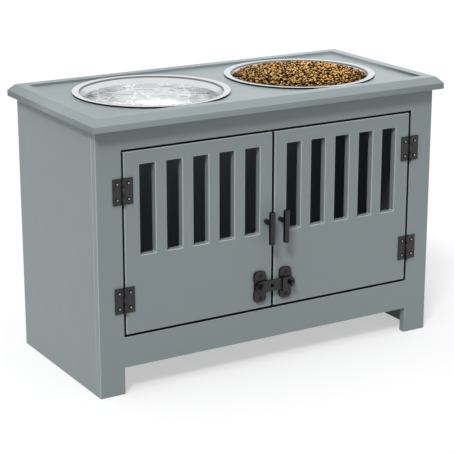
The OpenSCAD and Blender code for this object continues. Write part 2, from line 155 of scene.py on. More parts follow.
def remap(tree, value, start, end, low=0.0, high=1.0, smooth=False):
    """Lays the range from start to end out from low to high, evenly or with soft ends."""
    kind = "SMOOTHSTEP" if smooth else "LINEAR"
    node = put(tree, "ShaderNodeMapRange", interpolation_type=kind)
    for label, number in (("From Min", start), ("From Max", end), ("To Min", low), ("To Max", high)):
        node.inputs[label].default_value = number
    tree.links.new(value, node.inputs["Value"])
    return node.outputs["Result"]


def ramp_to_white(tree, value, first, start=0.0, end=1.0):
    """A colour ramp over a value, from a first colour to white."""
    node = put(tree, "ShaderNodeValToRGB")
    low, high = node.color_ramp.elements
    low.color = first
    low.position = start
    high.color = (1, 1, 1, 1)
    high.position = end
    tree.links.new(value, node.inputs["Fac"])
    return node.outputs["Color"]


def bake(name, shape):
    """A mesh made from a bmesh, which is then let go."""
    mesh = bpy.data.meshes.new(name)
    shape.to_mesh(mesh)
    shape.free()
    return mesh


# %% [markdown]
# ## The studio
# The set is a wide pale floor in an even white room. The room is white for the camera and in mirrors, but
# it lights the object less than that, so the lamps can model its shape.

# %% White room
world = bpy.data.worlds.new("white_room")
world.use_nodes = True
scene.world = world
room = world.node_tree
room.nodes.clear()
room_light = 0.37
level = calc(room, "MULTIPLY_ADD", seen_share(room), 1 - room_light, room_light)
backdrop = put(room, "ShaderNodeBackground")
backdrop.inputs["Color"].default_value = (1, 1, 1, 1)
room.links.new(level, backdrop.inputs["Strength"])
room.links.new(backdrop.outputs[0], put(room, "ShaderNodeOutputWorld").inputs["Surface"])
print("room light", room_light)

# %% [markdown]
# Two soft lamps do the rest. A very large one hangs overhead and a little to the left, so the top is the
# lightest face and the left side comes next. A smaller one at the front left gives the handles and the
# latch their short shadows towards the lower right. Mirrors don't show the lamps, because the white room
# already fills them.

# %% Lamps


def soft_lamp(name, towards, strength, spread):
    """A far lamp that shines from a direction. Strength 1 lights a facing surface fully."""
    data = bpy.data.lights.new(name, "SUN")
    data.energy = strength * math.pi
    data.angle = math.radians(spread)
    lamp = stand(name, data)
    lamp.rotation_euler = Vector(towards).to_track_quat("Z", "Y").to_euler()
    print("lamp", name, "strength", strength)
    return lamp


overhead = soft_lamp("overhead_softbox", (-0.22, -0.04, 0.97), 0.44, 60)
overhead.visible_glossy = False
front_left = soft_lamp("front_left_softbox", (-0.50, -0.48, 0.72), 0.55, 12)
front_left.visible_glossy = False
front_left.visible_transmission = False

# %% [markdown]
# A small softbox stands low behind the right end. It shows only as a sheen, which makes the painted tray
# lighter from left to right. It reaches only the pieces of one collection, since the polished rims of the
# bowls would mirror the box.

# %% Sheen lamp
sheen_data = bpy.data.lights.new("low_back_softbox", "AREA")
sheen_data.shape = "SQUARE"
sheen_data.size = 0.8
sheen_data.energy = 1.8
sheen = stand("low_back_softbox", sheen_data)
sheen.location = at(700, 540, 565)
sheen.rotation_euler = (sheen.location - at(230, 60, 410)).to_track_quat("Z", "Y").to_euler()
sheen.visible_camera = False
sheen.visible_diffuse = False
sheen.visible_transmission = False
sheen_takers = bpy.data.collections.new("painted_pieces")
sheen.light_linking.receiver_collection = sheen_takers
print("sheen lamp", sheen_data.energy, "W")

# %% [markdown]
# The floor is a wide disc, a stage and not a part of the feeder. The camera, metal and water see it half as
# paper lit from behind, so it stays close to white and keeps a soft shadow. Other light meets a plain grey
# floor, which throws less light upwards.

# %% Floor
disc = bmesh.new()
bmesh.ops.create_circle(disc, cap_ends=True, radius=16, segments=64)
floor_mesh = bake("floor", disc)
floor = stand("floor", floor_mesh)
floor_finish = bpy.data.materials.new("pale_floor")
floor_finish.use_nodes = True
floor_tree = floor_finish.node_tree
floor_tree.nodes.clear()
seen = seen_share(floor_tree)
plain_grey = (0.48, 0.48, 0.48, 1)
paper_white = (0.88, 0.88, 0.88, 1)
matt = put(floor_tree, "ShaderNodeBsdfDiffuse")
floor_tree.links.new(mix(floor_tree, seen, plain_grey, paper_white), matt.inputs["Color"])
glow = put(floor_tree, "ShaderNodeEmission")
floor_mix = put(floor_tree, "ShaderNodeMixShader")
floor_tree.links.new(calc(floor_tree, "MULTIPLY", seen, 0.5), floor_mix.inputs[0])
floor_tree.links.new(matt.outputs[0], floor_mix.inputs[1])
floor_tree.links.new(glow.outputs[0], floor_mix.inputs[2])
floor_output = put(floor_tree, "ShaderNodeOutputMaterial")
floor_tree.links.new(floor_mix.outputs[0], floor_output.inputs["Surface"])
floor_mesh.materials.append(floor_finish)
print("floor wears", floor_finish.name)

# %% [markdown]
# ## Effects that the finishes share
# Three small node groups hold what the finishes have in common: a drift of shade, a fine grain for the
# bump, and a mask along worn edges. Each is built once and then placed in a material with its own numbers.
# Their noise reads Object coordinates, so a pattern stays on its piece.

# %% Group helpers


def effect(name, takes, gives, given_kind="NodeSocketFloat"):
    """A node group with named inputs and one named output, its input node and its output node."""
    group = bpy.data.node_groups.new(name, "ShaderNodeTree")
    for label, value in takes:
        kind = "NodeSocketFloat" if isinstance(value, (int, float)) else "NodeSocketColor"
        group.interface.new_socket(name=label, in_out="INPUT", socket_type=kind).default_value = value
    group.interface.new_socket(name=gives, in_out="OUTPUT", socket_type=given_kind)
    return group, group.nodes.new("NodeGroupInput"), group.nodes.new("NodeGroupOutput")


def cloud(tree, size, detail=3.0, stretch=(1, 1, 1)):
    """Noise whose blotches are about one size across, in metres, or the output that sets its scale."""
    where = put(tree, "ShaderNodeTexCoord").outputs["Object"]
    if stretch != (1, 1, 1):
        mapping = put(tree, "ShaderNodeMapping")
        mapping.inputs["Scale"].default_value = stretch
        tree.links.new(where, mapping.inputs["Vector"])
        where = mapping.outputs["Vector"]
    noise = put(tree, "ShaderNodeTexNoise")
    noise.inputs["Detail"].default_value = detail
    tree.links.new(where, noise.inputs["Vector"])
    feed(tree, noise.inputs["Scale"], size if isinstance(size, bpy.types.NodeSocket) else 1 / size)
    return noise.outputs["Fac"]


# %% Shade drift group
drift_group, taken, given = effect(
    "shade_drift", [("Color", (0.5, 0.5, 0.5, 1)), ("Scale", 12.0), ("Amount", 0.05)], "Color",
    "NodeSocketColor")
broad = cloud(drift_group, taken.outputs["Scale"], 4.0)
swing = calc(drift_group, "MULTIPLY", calc(drift_group, "SUBTRACT", broad, 0.5), taken.outputs["Amount"])
shade = put(drift_group, "ShaderNodeHueSaturation")
drift_group.links.new(calc(drift_group, "MULTIPLY_ADD", swing, 2.0, 1.0), shade.inputs["Value"])
drift_group.links.new(taken.outputs["Color"], shade.inputs["Color"])
drift_group.links.new(shade.outputs["Color"], given.inputs["Color"])

# %% Fine grain group
grain_group, taken, given = effect("fine_grain", [("Scale", 700.0), ("Waviness", 0.3)], "Height")
fine = cloud(grain_group, taken.outputs["Scale"], 2.0)
waves = calc(grain_group, "MULTIPLY", cloud(grain_group, 0.03, 1.0), taken.outputs["Waviness"])
grain_group.links.new(calc(grain_group, "ADD", fine, waves), given.inputs["Height"])

# %% [markdown]
# Where an edge is eased, the helper that bevels it marks the new faces with an attribute named worn. The
# wear group reads that mark, so a mask follows the real edges of each piece, and noise breaks it up. Turned
# and carried-over pieces have no such mark. Their finishes also count the pointed parts of the shape.

# %% Edge wear group
wear_group, taken, given = effect("edge_wear", [("Break up", 0.5), ("By shape", 0.0)], "Mask")
eased_mark = put(wear_group, "ShaderNodeAttribute", attribute_name="worn").outputs["Fac"]
pointed = remap(wear_group, put(wear_group, "ShaderNodeNewGeometry").outputs["Pointiness"], 0.54, 0.66)
shaped_mark = calc(wear_group, "MULTIPLY", pointed, taken.outputs["By shape"])
mark = calc(wear_group, "MAXIMUM", eased_mark, shaped_mark)
patchy = calc(wear_group, "MULTIPLY", cloud(wear_group, 0.012, 3.0), taken.outputs["Break up"])
bare = calc(wear_group, "SUBTRACT", 1.0, patchy, clamp=True)
wear_group.links.new(calc(wear_group, "MULTIPLY", mark, bare), given.inputs["Mask"])
print("effects:", [group.name for group in bpy.data.node_groups])

# %% [markdown]
# ## The finishes
# A finish is one Principled shader. Its colour drifts a little, worn edges take a second colour, the grain
# becomes a bump, and the roughness wanders between two values. One function lays this out, and each finish
# gives its numbers and adds what only it has.

# %% Finish helper


def place(tree, group, **values):
    """A group in a material's tree, with its input values."""
    node = put(tree, "ShaderNodeGroup", node_tree=group)
    for label, value in values.items():
        node.inputs[label.replace("_", " ")].default_value = value
    return node


def finish(name, color, worn, roughness, drift=0.05, drift_scale=12.0, grain=700.0, depth=0.02,
           metallic=0.0, by_shape=0.8, specular=0.5):
    """A material with drifting shade, worn edges, a wandering roughness and a fine bump."""
    material = bpy.data.materials.new(name)
    material.use_nodes = True
    tree = material.node_tree
    shader = tree.nodes["Principled BSDF"]
    shader.inputs["Metallic"].default_value = metallic
    shader.inputs["Specular IOR Level"].default_value = specular
    shaded = place(tree, drift_group, Color=color, Scale=drift_scale, Amount=drift)
    wear = place(tree, wear_group, By_shape=by_shape)
    blend = mix(tree, wear.outputs["Mask"], shaded.outputs["Color"], worn)
    tree.links.new(blend, shader.inputs["Base Color"])
    wander = remap(tree, cloud(tree, 0.02, 2.0), 0.0, 1.0, *roughness)
    tree.links.new(wander, shader.inputs["Roughness"])
    texture = place(tree, grain_group, Scale=grain)
    bump = put(tree, "ShaderNodeBump")
    bump.inputs["Distance"].default_value = depth * mm
    tree.links.new(texture.outputs["Height"], bump.inputs["Height"])
    tree.links.new(bump.outputs["Normal"], shader.inputs["Normal"])
    print("finish", name)
    return material, tree, shader


def base_color(shader):
    """The output that feeds a shader's colour so far."""
    return shader.inputs["Base Color"].links[0].from_socket


# %% [markdown]
# The cabinet is board with a sprayed grey-blue satin paint. Spray leaves a very faint orange peel. The
# edges are a touch lighter, because the film is thinner where it was sanded between coats.

# %% Paint
paint = finish(
    "satin_grey_blue_paint", tint(137, 147, 149), tint(176, 185, 187), (0.40, 0.52),
    drift=0.012, drift_scale=9.0, grain=650.0, by_shape=0.0, specular=0.35)[0]

# %% [markdown]
# The cut edges of the doors and of their opening drink the paint, and they are painted much darker still, as
# the shade inside the gaps. They are left matt, and a rubbed corner there is only a little lighter.

# %% Board edge
gap_shade_edge = finish(
    "board_edge_and_gap_shade", tint(40, 44, 46), tint(90, 96, 98), (0.7, 0.85), drift_scale=30.0,
    grain=500.0, depth=0.05, by_shape=0.0, specular=0.15)[0]

# %% [markdown]
# The hinges, handles and latch are steel with a baked black powder coat: dark grey rather than black, with
# a fine pebble and slightly brighter edges where hands rub it.

# %% Black powder coat
black_coat = finish(
    "black_powder_coat", tint(22, 22, 23), tint(58, 58, 60), (0.30, 0.42),
    drift=0.10, drift_scale=60.0, grain=2600.0, depth=0.05, specular=0.42)[0]

# %% [markdown]
# The screws are blacked and oiled instead of coated, so they are darker than the plates round them. The same
# black is painted as shade on the cut edges of the plates and the sides of the handle bars, and the handle
# posts have it too.

# %% Screw black
screw_black_and_edge_shade = finish(
    "black_screw_steel_and_edge_shade", tint(12, 12, 13), tint(50, 50, 52), (0.12, 0.20),
    drift=0.12, drift_scale=300.0, grain=3000.0, depth=0.01, specular=0.12)[0]

# %% [markdown]
# The bowls are pressed stainless steel, a bright mirror with fine turning marks round the bowl's own axis.
# The rings need the distance from that axis, so each bowl gets its own copy of the finish, and a Mapping
# node puts the pattern's middle on the bowl.

# %% Stainless steel


def distance_from(tree, centre):
    """The distance of a point from a vertical axis through the centre."""
    mapping = put(tree, "ShaderNodeMapping")
    mapping.inputs["Location"].default_value = (-centre.x, -centre.y, 0)
    tree.links.new(put(tree, "ShaderNodeTexCoord").outputs["Object"], mapping.inputs["Vector"])
    flat = put(tree, "ShaderNodeVectorMath", operation="MULTIPLY")
    flat.inputs[1].default_value = (1, 1, 0)
    tree.links.new(mapping.outputs["Vector"], flat.inputs[0])
    span = put(tree, "ShaderNodeVectorMath", operation="LENGTH")
    tree.links.new(flat.outputs[0], span.inputs[0])
    return span.outputs["Value"]


def steel_finish(name, centre):
    """Turned stainless steel with its rings round a vertical axis through the centre."""
    material, tree, shader = finish(
        name, tint(222, 224, 225), tint(238, 239, 240), (0.16, 0.26), drift=0.04,
        drift_scale=25.0, grain=900.0, depth=0.01, metallic=1.0)
    rings = put(tree, "ShaderNodeTexNoise", noise_dimensions="1D")
    rings.inputs["Scale"].default_value = 1500.0
    tree.links.new(distance_from(tree, centre), rings.inputs["W"])
    first = next(node for node in tree.nodes if node.type == "BUMP")
    turned = put(tree, "ShaderNodeBump")
    turned.inputs["Distance"].default_value = 0.005 * mm
    tree.links.new(rings.outputs["Fac"], turned.inputs["Height"])
    tree.links.new(first.outputs["Normal"], turned.inputs["Normal"])
    tree.links.new(turned.outputs["Normal"], shader.inputs["Normal"])
    return material


# %% [markdown]
# Inside the cabinet a few fasteners are zinc plated, and the blocks and dowels are bare softwood. Wood
# grain is noise stretched along the board.

# %% Zinc and bare wood
zinc = finish(
    "zinc_plate", tint(176, 178, 176), tint(214, 214, 212), (0.26, 0.42),
    drift=0.10, drift_scale=180.0, grain=1500.0, metallic=1.0)[0]
wood, wood_tree, wood_shader = finish(
    "bare_softwood", tint(196, 164, 122), tint(214, 188, 150), (0.60, 0.78),
    drift=0.08, drift_scale=30.0, grain=900.0, depth=0.04)
streaks = ramp_to_white(wood_tree, cloud(wood_tree, 0.004, 5.0, (1, 1, 0.08)), tint(170, 130, 92))
figure = mix(wood_tree, 0.55, base_color(wood_shader), streaks, "MULTIPLY")
wood_tree.links.new(figure, wood_shader.inputs["Base Color"])

# %% [markdown]
# ## From a shape to a piece
# Every piece takes the same last steps: its normals are pointed outwards, its mesh becomes an object at the
# origin, a Weighted Normal modifier keeps flat faces flat beside their rounded edges, and it is tied to the
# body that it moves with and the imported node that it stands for.

# %% Piece helper


def make_piece(name, shape, body, material, nodes=(), slot=None, even=True):
    """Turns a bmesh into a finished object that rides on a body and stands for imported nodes."""
    bmesh.ops.recalc_face_normals(shape, faces=shape.faces)
    open_edges = sum(1 for edge in shape.edges if len(edge.link_faces) != 2)
    mesh = bake(name, shape)
    mesh.polygons.foreach_set("use_smooth", [True] * len(mesh.polygons))
    mesh.materials.append(material)
    piece = stand(name, mesh)
    if even:
        piece.modifiers.new("even_shading", "WEIGHTED_NORMAL").keep_sharp = True
    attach(piece, body)
    if nodes:
        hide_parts(*nodes)
    if slot == "painted_board":
        sheen_takers.objects.link(piece)
    print(name, len(mesh.polygons), "faces, open edges", open_edges)
    return piece


# %% [markdown]
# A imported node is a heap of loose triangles. A copy of it, with its doubles merged and its flat areas
# joined, is a clean start for a piece with many cut-outs. Easing then bevels its sharp edges. Tiny edges
# are skipped, because they belong to screw holes that a screw hides. A second finish goes on some faces of
# a piece.

# %% Easing helpers


def copy_of(node):
    """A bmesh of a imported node, with loose triangles merged into real faces."""
    shape = bmesh.new()
    shape.from_mesh(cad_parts[node].data)
    bmesh.ops.remove_doubles(shape, verts=shape.verts, dist=0.01 * mm)
    bmesh.ops.dissolve_limit(shape, angle_limit=math.radians(1), verts=shape.verts, edges=shape.edges)
    return shape


def ease(shape, width, segments=2, shortest=4.0, sharpest=40.0, rub=1.0, where=None):
    """Rounds the edges that turn by more than an angle and are longer than a length in millimetres."""
    worn = shape.faces.layers.float.get("worn") or shape.faces.layers.float.new("worn")
    sharp = [edge for edge in shape.edges if len(edge.link_faces) == 2
             and edge.calc_face_angle(0) > math.radians(sharpest)
             and edge.calc_length() > shortest * mm
             and (where is None or where(edge))]
    eased = bmesh.ops.bevel(shape, geom=sharp, offset=width * mm, offset_type="OFFSET", affect="EDGES",
                            segments=segments, profile=0.5, material=-1, clamp_overlap=False)
    for face in eased["faces"]:
        face[worn] = rub
    return len(sharp)


def second_finish(piece, material, where):
    """Gives one more finish to the faces of a finished piece that pass a test."""
    piece.data.materials.append(material)
    chosen = [face for face in piece.data.polygons if where(face)]
    for face in chosen:
        face.material_index = len(piece.data.materials) - 1
    print(piece.name, "faces in", material.name, len(chosen))


def upright(face):
    """True for the cut and eased edges of a plate that lies flat on a door."""
    return abs(face.normal.y) < 0.75


# %% [markdown]
# ## The cabinet
# The face frame is four boards glued and painted as one, so no joint shows on the front. It is made as one
# sheet: a rectangle is cut along the edges of the opening and the feet, the cut cells are deleted, and the
# rest is extruded to the frame's thickness.

# %% Sheet helper


def cut_sheet(low, high, openings):
    """A board between two corners, thin along Y, with openings (x0, x1, z0, z1) cut through it."""
    shape = bmesh.new()
    middle = (low + high) / 2
    size = high - low
    lay = Matrix.Translation((middle.x, low.y, middle.z)) @ Matrix.Rotation(math.pi / 2, 4, "X")
    bmesh.ops.create_grid(shape, x_segments=1, y_segments=1, size=0.5,
                          matrix=lay @ Matrix.Diagonal((size.x, size.z, 1, 1)))
    east = Vector((1, 0, 0))
    up = Vector((0, 0, 1))
    for x0, x1, z0, z1 in openings:
        for spot, normal in ((x0, east), (x1, east), (z0, up), (z1, up)):
            bmesh.ops.bisect_plane(shape, geom=shape.verts[:] + shape.edges[:] + shape.faces[:],
                                   dist=1e-7, plane_co=normal * spot, plane_no=normal)
    gone = []
    for face in shape.faces:
        spot = face.calc_center_median()
        if any(x0 < spot.x < x1 and z0 < spot.z < z1 for x0, x1, z0, z1 in openings):
            gone.append(face)
    bmesh.ops.delete(shape, geom=gone, context="FACES")
    grown = bmesh.ops.extrude_face_region(shape, geom=shape.faces[:])
    lifted = [item for item in grown["geom"] if isinstance(item, bmesh.types.BMVert)]
    bmesh.ops.translate(shape, verts=lifted, vec=(0, size.y, 0))
    return shape


# %% Face frame
frame_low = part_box("front_stile_left")[0]
frame_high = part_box("front_stile_right")[1]
rail_low, rail_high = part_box("lower_rail")
half_opening = rail_high.x
door_opening = (-half_opening, half_opening, rail_high.z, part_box("top_rail")[0].z)
under_rail = (-half_opening, half_opening, frame_low.z - mm, rail_low.z)
face_frame = cut_sheet(frame_low, frame_high, [door_opening, under_rail])
inside_opening = half_opening + 2 * mm
ease(face_frame, 0.4, where=lambda edge: max(abs(v.co.x) for v in edge.verts) < inside_opening)
ease(face_frame, 0.9, 3, where=lambda edge: max(abs(v.co.x) for v in edge.verts) > inside_opening)
frame_nodes = ("front_stile_left", "front_stile_right", "top_rail", "lower_rail")
frame_piece = make_piece("face_frame", face_frame, "cabinet", paint, frame_nodes, "painted_board")
touching = 0.05 * mm


def in_opening(face):
    """True for the four inner faces of the door opening."""
    spot = face.center
    x0, x1, z0, z1 = door_opening
    inside = x0 - touching < spot.x < x1 + touching and z0 - touching < spot.z < z1 + touching
    return inside and min(spot.x - x0, x1 - spot.x, spot.z - z0, z1 - spot.z) < touching


# The inner faces of the opening are painted dark, as shade in the gap round the doors.
second_finish(frame_piece, gap_shade_edge, in_opening)

# %% [markdown]
# The side panels, the bottom and the back keep their grooves and bolt holes, so they start from copies.
# Only their long edges are eased, a little under a millimetre.

# %% Carcass panels
for node, width in (("side_panel_left", 0.8), ("side_panel_right", 0.8), ("bottom_panel", 0.6),
                    ("back_panel", 0.5)):
    panel = copy_of(node)
    ease(panel, width, shortest=30)
    make_piece("painted_" + node, panel, "cabinet", paint, (node,), "painted_board")

# %% [markdown]
# The top is one thick board with a chamfered outer edge, a raised border and a shallow tray with two round
# cut-outs. The chamfer and the border catch the light as thin lines, so their edges are eased only finely.

# %% Top board
top = copy_of("top_board")
print("top edges eased:", ease(top, 0.7, shortest=60, rub=0.25))
make_piece("framed_top", top, "cabinet", paint, ("top_board",), "painted_board")

# %% [markdown]
# Bare wooden blocks hold the top from below, and a stop behind the top rail meets both doors.

# %% Blocks and stop
for node in ("corner_blocks", "door_stop"):
    block = copy_of(node)
    ease(block, 0.6, shortest=10)
    make_piece("bare_" + node, block, "cabinet", wood, (node,), "raw_wood")

# %% [markdown]
# ## The doors
# Each door is one slab with five slots routed through it. The router leaves crisp corners, and the painter
# eases every edge by about a millimetre. That rounded edge shows as a light line round the slots. The four
# cut edges of the slab are painted dark as shade, which draws the gap round each door, and the slab is
# trimmed by half a millimetre all round, because the gap looks that much wider on the real feeder.

# %% Doors
def outer_height(edge, low, high):
    """True for an edge that lies along the top or the bottom of a board."""
    heights = [vert.co.z for vert in edge.verts]
    return max(heights) < low.z + touching or min(heights) > high.z - touching


door_trim = 0.5 * mm
long_edge = 100 * mm
slot_count = 5
slot_low = 207.5
slot_high = 340.5
slot_wide = 25.0
slot_first = 23.5
slot_pitch = 43.5
for side, name in ((-1, "left"), (1, "right")):
    door_low, door_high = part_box("door_" + name)
    door_low += Vector((door_trim, 0, door_trim))
    door_high -= Vector((door_trim, 0, door_trim))
    slots = []
    for count in range(slot_count):
        near = slot_first + count * slot_pitch
        ends = sorted((side * near * mm, side * (near + slot_wide) * mm))
        slots.append((*ends, slot_low * mm, slot_high * mm))
    door = cut_sheet(door_low, door_high, slots)
    ease(door, 1.3, 3, where=lambda edge: not (
        outer_height(edge, door_low, door_high) and edge.calc_length() > long_edge))
    ease(door, 0.6, shortest=100, where=lambda edge: outer_height(edge, door_low, door_high))
    door_piece = make_piece("slotted_door_" + name, door, "door_" + name, paint, ("door_" + name,),
                            "painted_board")
    # The four cut edges of the door are painted dark, as shade in the gap.
    second_finish(door_piece, gap_shade_edge, lambda face: min(
        face.center.x - door_low.x, door_high.x - face.center.x,
        face.center.z - door_low.z, door_high.z - face.center.z) < touching)

# %% [markdown]
# ## The bowls
# A bowl is spun from sheet metal, and Blender's spin does the same: the outline of one half, drawn as a
# chain of edges, turns round the axis. A vertex bevel rounds its corners first, while it is still a flat
# line.

# %% Spin helper


def outline(points):
    """A chain of edges in the X-Z plane from points (radius, height) in millimetres."""
    shape = bmesh.new()
    made = [shape.verts.new((radius * mm, 0, height * mm)) for radius, height in points]
    for first, second in zip(made, made[1:]):
        shape.edges.new((first, second))
    return shape, made


def round_corner(shape, corner, width, segments):
    """Rounds one corner of the chain, starting at a width in millimetres from it."""
    bmesh.ops.bevel(shape, geom=[corner], offset=width * mm, offset_type="OFFSET", affect="VERTICES",
                    segments=segments, profile=0.5, material=-1)


def turn_round(shape, centre, steps=96):
    """Spins the chain once round the vertical axis and moves it to its centre."""
    bmesh.ops.spin(shape, geom=shape.verts[:] + shape.edges[:], cent=(0, 0, 0), axis=(0, 0, 1),
                   dvec=(0, 0, 0), angle=2 * math.pi, steps=steps, use_merge=True)
    bmesh.ops.remove_doubles(shape, verts=shape.verts, dist=0.002 * mm)
    bmesh.ops.recalc_face_normals(shape, faces=shape.faces)
    bmesh.ops.translate(shape, verts=shape.verts, vec=centre)


# %% [markdown]
# The flat rim rests on the tray. Its outer edge is rolled and tucked under, and that underside is dull and
# painted nearly black as shade, which draws a fine dark line round the bowl. Its inner edge turns down with
# a tight bend, painted as a thin grey line of shade, into a sloping wall, and a wide curve leads to the flat
# bottom.

# %% Under the rim
rim_underside_shade = finish(
    "rim_underside_painted_shade", tint(22, 23, 24), tint(60, 62, 63), (0.6, 0.8), drift=0.2,
    drift_scale=80.0, grain=900.0, depth=0.03, specular=0.1)[0]
bend_shade_line = finish(
    "bend_painted_shade", tint(128, 131, 133), tint(160, 162, 164), (0.3, 0.45), drift=0.15,
    drift_scale=60.0, grain=900.0, depth=0.01, metallic=1.0)[0]

# %% Bowls
rim_radius = 118.0
rim_lift = 0.6
mouth_radius = 107.0
rim_height = 2.4
depth = 62.0
wall_foot = 78.9
sheet = 1.0
roll = 0.55
tuck = 0.8
bowl_centres = {}
for name in ("left", "right"):
    low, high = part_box("bowl_" + name)
    centre = Vector(((low.x + high.x) / 2, (low.y + high.y) / 2, high.z))
    bowl_centres[name] = centre
    bowl, corners = outline([
        (0, -depth), (wall_foot, -depth), (mouth_radius - 0.6, -1.4),
        (mouth_radius + 1.0, -0.35 + rim_lift), (rim_radius - 4.5, rim_lift), (rim_radius, rim_lift),
        (rim_radius, rim_lift - roll), (rim_radius - tuck, rim_lift - roll),
        (rim_radius - tuck, -rim_height), (mouth_radius + sheet, -rim_height),
        (wall_foot + 0.5, -depth - sheet), (0, -depth - sheet)])
    round_corner(bowl, corners[1], 12.9, 8)
    round_corner(bowl, corners[2], 1.0, 3)
    round_corner(bowl, corners[5], 0.27, 4)
    round_corner(bowl, corners[6], 0.25, 3)
    round_corner(bowl, corners[10], 13.4, 8)
    turn_round(bowl, centre)
    bowl_piece = make_piece("steel_bowl_" + name, bowl, "bowl_" + name,
                            steel_finish("turned_steel_" + name, centre), ("bowl_" + name,),
                            "bowl_steel", even=False)
    # The underside of the rim is painted nearly black, as shade.
    second_finish(bowl_piece, rim_underside_shade, lambda face: (
        face.center.z - centre.z < (rim_lift - roll + 0.05) * mm
        and (face.center - centre).xy.length > (mouth_radius + 2) * mm))
    # A thin ring at the bend is painted grey, as shade.
    second_finish(bowl_piece, bend_shade_line, lambda face: (
        abs((face.center - centre).xy.length / mm - mouth_radius + 0.2) < 0.8 and face.normal.z > 0.3))

# %% [markdown]
# ## Water
# The left bowl holds clear water nearly up to its rim. Real water is never still, so its top is cut into
# fine rings and moved by crossing waves. The body below follows the bowl's wall.

# %% Water
water_level = -10.0
ring_count = 56
still = 1e-6
wall_slope = (mouth_radius - wall_foot) / depth
water_edge = mouth_radius - 0.9 + wall_slope * water_level
water, corners = outline([(0, -depth + 0.3), (wall_foot - 0.3, -depth + 0.3), (water_edge, water_level),
                          (0, water_level)])
round_corner(water, corners[1], 12.6, 6)
water.edges.ensure_lookup_table()
surface = [edge for edge in water.edges if all(abs(v.co.z - water_level * mm) < still for v in edge.verts)]
bmesh.ops.subdivide_edges(water, edges=surface, cuts=ring_count)
turn_round(water, bowl_centres["left"], 120)
# A wave is its heading, length, phase and height, in radians and millimetres.
waves = [(0.9, 20.5, 0.3, 0.14), (2.3, 16.5, 1.7, 0.12), (4.0, 28.5, 2.1, 0.10), (5.2, 35.5, 0.6, 0.08),
         (1.6, 48, 4.4, 0.06)]
middle = bowl_centres["left"]
for vert in water.verts:
    if abs(vert.co.z - middle.z - water_level * mm) < still:
        reach = (vert.co - middle).xy
        calm = 1 - (reach.length / (water_edge * mm)) ** 6
        for heading, length, phase, height in waves:
            along = reach.x * math.cos(heading) + reach.y * math.sin(heading)
            vert.co.z += height * mm * calm * math.sin(2 * math.pi * along / (length * mm) + phase)
water_finish, water_tree, water_shader = finish(
    "clear_water", tint(246, 248, 248), tint(250, 252, 252), (0.0, 0.02), drift=0.02, grain=160.0,
    depth=0.1)
# The emission makes the painted net of light glow faintly.
for label, value in (("Transmission Weight", 1.0), ("IOR", 1.06), ("Coat Weight", 1.0),
                     ("Coat Roughness", 0.02), ("Coat IOR", 1.333), ("Emission Strength", 0.16)):
    water_shader.inputs[label].default_value = value

# %% [markdown]
# Ripples gather light into a moving net of bright lines, and here that light is painted: a Voronoi pattern,
# bent by noise, whose cell edges let all light through and add a faint painted glow, while its cells take a
# little away.

# %% Net of light
still_place = put(water_tree, "ShaderNodeTexCoord").outputs["Object"]
bending = cloud(water_tree, 0.035, 2.0).node.outputs["Color"]
net = put(water_tree, "ShaderNodeTexVoronoi", feature="DISTANCE_TO_EDGE")
net.inputs["Scale"].default_value = 22.0
water_tree.links.new(mix(water_tree, 0.05, still_place, bending, "ADD"), net.inputs["Vector"])
caustic_line_mask = remap(water_tree, net.outputs["Distance"], 0.0, 0.06, 1.0, 0.0, smooth=True)
painted_caustic_color = mix(water_tree, caustic_line_mask, base_color(water_shader), (1, 1, 1, 1))
water_tree.links.new(painted_caustic_color, water_shader.inputs["Base Color"])
water_tree.links.new(caustic_line_mask, water_shader.inputs["Emission Color"])
make_piece("drinking_water", water, "bowl_left", water_finish, even=False)

# %% [markdown]
# ## Dry food
# The right bowl is heaped with small round kibble. One squashed ball of few faces is copied many times over
# a dome, in the spiral that seeds in a sunflower follow, because it spreads them evenly. Chance, from a
# fixed seed, then turns, sizes and shifts each one.

# %% Kibble
heap_edge = -4.0
heap_rise = 9.8
heap_radius = mouth_radius - 1.6 + wall_slope * heap_edge
kibble_size = (2.3, 3.3)
full_turn = 6.28
chance = random.Random(7)


def heap_height(radius):
    """Height of the heap over the rim, at a distance from the middle, in millimetres."""
    share = min(radius / heap_radius, 1)
    return heap_edge + heap_rise * (1 - share ** 2) ** 0.6


seed_shape = bmesh.new()
bmesh.ops.create_uvsphere(seed_shape, u_segments=7, v_segments=5, radius=1)
seed_mesh = bake("one_kibble", seed_shape)
golden_angle = math.pi * (3 - math.sqrt(5))


def lay_kibble(handful, spot):
    """Adds one kibble to a handful: squashed, tilted and turned by chance."""
    size = chance.uniform(*kibble_size)
    wide = Matrix.Diagonal((size, size * chance.uniform(0.6, 0.85), size * chance.uniform(0.5, 0.75), 1))
    heading = Matrix.Rotation(chance.uniform(0, full_turn), 4, "Z")
    turned = heading @ Matrix.Rotation(chance.uniform(-1.0, 1.0), 4, "Y")
    before = len(handful.verts)
    handful.from_mesh(seed_mesh)
    handful.verts.ensure_lookup_table()
    bmesh.ops.transform(handful, verts=handful.verts[before:],
                        matrix=Matrix.Translation(spot) @ turned @ Matrix.Scale(mm, 4) @ wide)


# %% Heap
kibble = bmesh.new()
scoop = bpy.data.meshes.new("one_scoop")
layers = ((950, -4.6), (820, -0.5))
handful_size = 50
for count, lift in layers:
    for start in range(0, count, handful_size):
        handful = bmesh.new()
        for number in range(start, min(start + handful_size, count)):
            radius = abs(heap_radius * math.sqrt((number + 0.5) / count) - 2.0 + chance.uniform(-2.6, 1.9))
            angle = number * golden_angle + lift + chance.uniform(-3.2, 3.2) / max(radius, 8.0)
            height = heap_height(radius) + lift + chance.uniform(-1.6, 1.3)
            spot = at(radius * math.cos(angle), radius * math.sin(angle), height)
            lay_kibble(handful, bowl_centres["right"] + spot)
        handful.to_mesh(scoop)
        handful.free()
        kibble.from_mesh(scoop)
bpy.data.meshes.remove(scoop)
bpy.data.meshes.remove(seed_mesh)
print("kibble faces:", len(kibble.faces))
